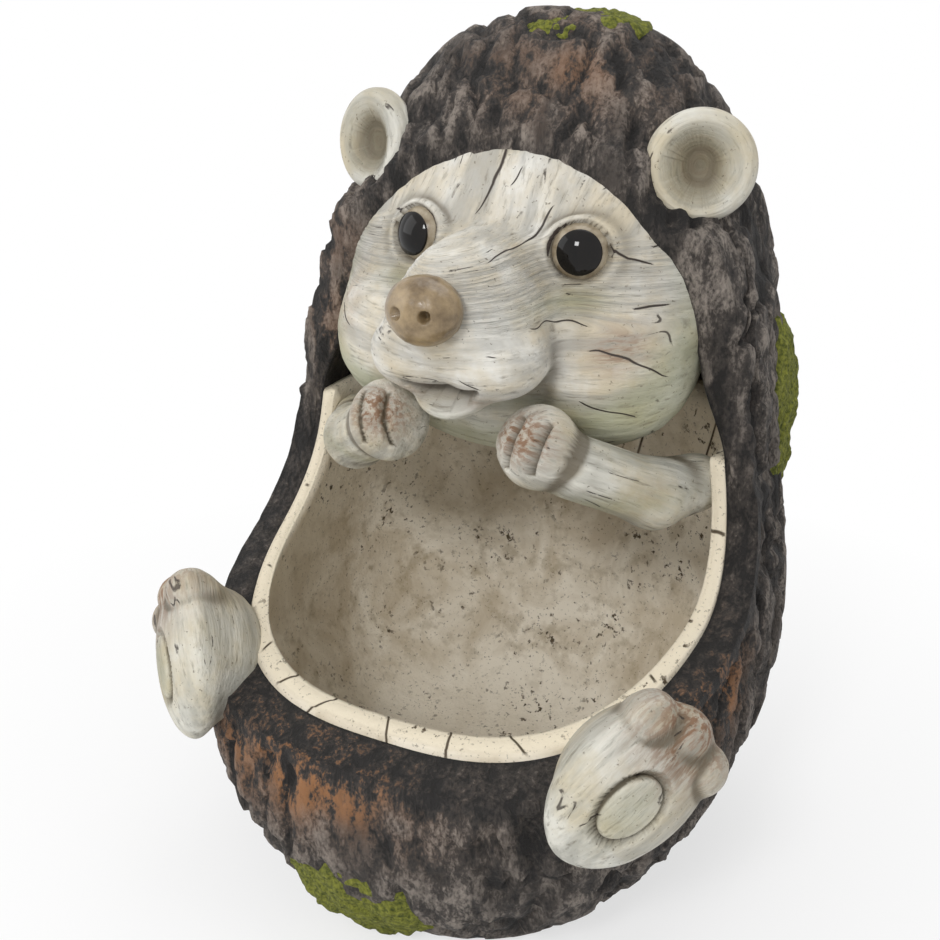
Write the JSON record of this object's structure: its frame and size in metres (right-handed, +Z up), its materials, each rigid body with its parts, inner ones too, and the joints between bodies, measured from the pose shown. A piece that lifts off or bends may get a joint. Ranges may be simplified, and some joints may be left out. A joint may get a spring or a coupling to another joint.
{
  "type": "animal shaped planter",
  "caption": "Sitting hedgehog garden planter: a hooded bark casting round a cream belly bowl, with face, ears, arms, feet, moss patches and a lift-out drain stopper.",
  "frame": {"origin": "middle of the bounding box's base, on the surface that the planter stands on", "axes": "+X to the hedgehog's own left, -Y the way its face looks, +Z up"},
  "size_m": [0.3588, 0.3496, 0.4979],
  "materials": {
    "bark": "matte",
    "carved_cream": "matte",
    "bowl_cream": "matte",
    "nose_brown": "satin",
    "eye_cream": "satin",
    "eye_black": "gloss",
    "moss_green": "matte",
    "stopper_rubber": "matte"
  },
  "bodies": {
    "planter": {"bark_shell": "bark", "belly_bowl": "bowl_cream", "head": "carved_cream", "nose": "nose_brown", "left_ear": "carved_cream", "right_ear": "carved_cream", "left_eyeball": "eye_cream", "right_eyeball": "eye_cream", "left_pupil": "eye_black", "right_pupil": "eye_black", "left_arm": "carved_cream", "right_arm": "carved_cream", "left_foot": "carved_cream", "right_foot": "carved_cream", "crown_moss": "moss_green", "side_moss": "moss_green", "front_moss": "moss_green"},
    "stopper": {"drain_plug": "stopper_rubber"}
  },
  "joints": [
    {"name": "stopper_pull", "type": "slide", "parent": "planter", "child": "stopper", "axis": [0, 0, 1], "range_m": [0, 0.06]}
  ]
}
